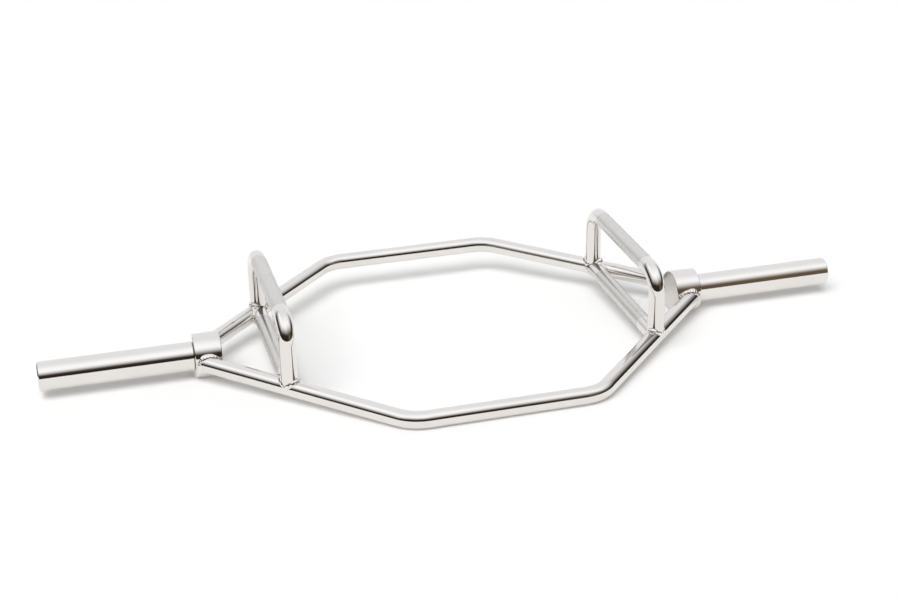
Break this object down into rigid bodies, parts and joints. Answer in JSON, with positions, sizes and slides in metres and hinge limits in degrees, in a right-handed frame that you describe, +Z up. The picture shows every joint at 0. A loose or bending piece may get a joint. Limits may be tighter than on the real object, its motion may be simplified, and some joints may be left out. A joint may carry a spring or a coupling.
{
  "type": "hex trap bar",
  "caption": "Chrome hex trap bar: a hexagonal tube frame to stand inside, low and raised grips at either hand, and turning sleeves for weight plates.",
  "frame": {"origin": "on the ground under the middle of the bar, with the bar level on its two hubs", "axes": "+X along the bar to the right, +Y to the rear rail, +Z up"},
  "size_m": [1.43, 0.6886, 0.162],
  "materials": {
    "chrome_tube": "polished bright plating, warm white",
    "chrome_hub": "polished bright plating with faint turning marks",
    "chrome_sleeve": "polished bright plating with faint lengthwise marks",
    "knurled_grip": "bright plating over a fine diamond knurl on the straight grip, smooth elsewhere",
    "weld_metal": "plated weld bead with ripples",
    "chrome_cap": "plated turned plug",
    "spindle_steel": "ground bare steel",
    "washer_steel": "zinc plated flat steel",
    "spring_steel": "blackened spring steel",
    "bronze": "oil filled sintered bronze"
  },
  "bodies": {
    "frame": {"front_rail": "chrome_tube", "rear_rail": "chrome_tube", "left_hub": "chrome_hub", "left_low_grip": "knurled_grip", "left_high_handle": "knurled_grip", "left_spindle": "spindle_steel", "left_retaining_washer": "washer_steel", "left_spring_ring": "spring_steel", "left_front_hub_weld": "weld_metal", "left_front_low_grip_weld": "weld_metal", "left_front_post_weld": "weld_metal", "left_rear_hub_weld": "weld_metal", "left_rear_low_grip_weld": "weld_metal", "left_rear_post_weld": "weld_metal", "right_hub": "chrome_hub", "right_low_grip": "knurled_grip", "right_high_handle": "knurled_grip", "right_spindle": "spindle_steel", "right_retaining_washer": "washer_steel", "right_spring_ring": "spring_steel", "right_front_hub_weld": "weld_metal", "right_front_low_grip_weld": "weld_metal", "right_front_post_weld": "weld_metal", "right_rear_hub_weld": "weld_metal", "right_rear_low_grip_weld": "weld_metal", "right_rear_post_weld": "weld_metal"},
    "left_turning_sleeve": {"left_sleeve": "chrome_sleeve", "left_inner_bush": "bronze", "left_outer_bush": "bronze", "left_end_cap": "chrome_cap"},
    "right_turning_sleeve": {"right_sleeve": "chrome_sleeve", "right_inner_bush": "bronze", "right_outer_bush": "bronze", "right_end_cap": "chrome_cap"}
  },
  "joints": [
    {"name": "left_sleeve_spin", "type": "hinge", "parent": "frame", "child": "left_turning_sleeve", "pos_m": [-0.58525, 0, 0.0375], "axis": [-1, 0, 0], "continuous": true},
    {"name": "right_sleeve_spin", "type": "hinge", "parent": "frame", "child": "right_turning_sleeve", "pos_m": [0.58525, 0, 0.0375], "axis": [1, 0, 0], "continuous": true}
  ]
}
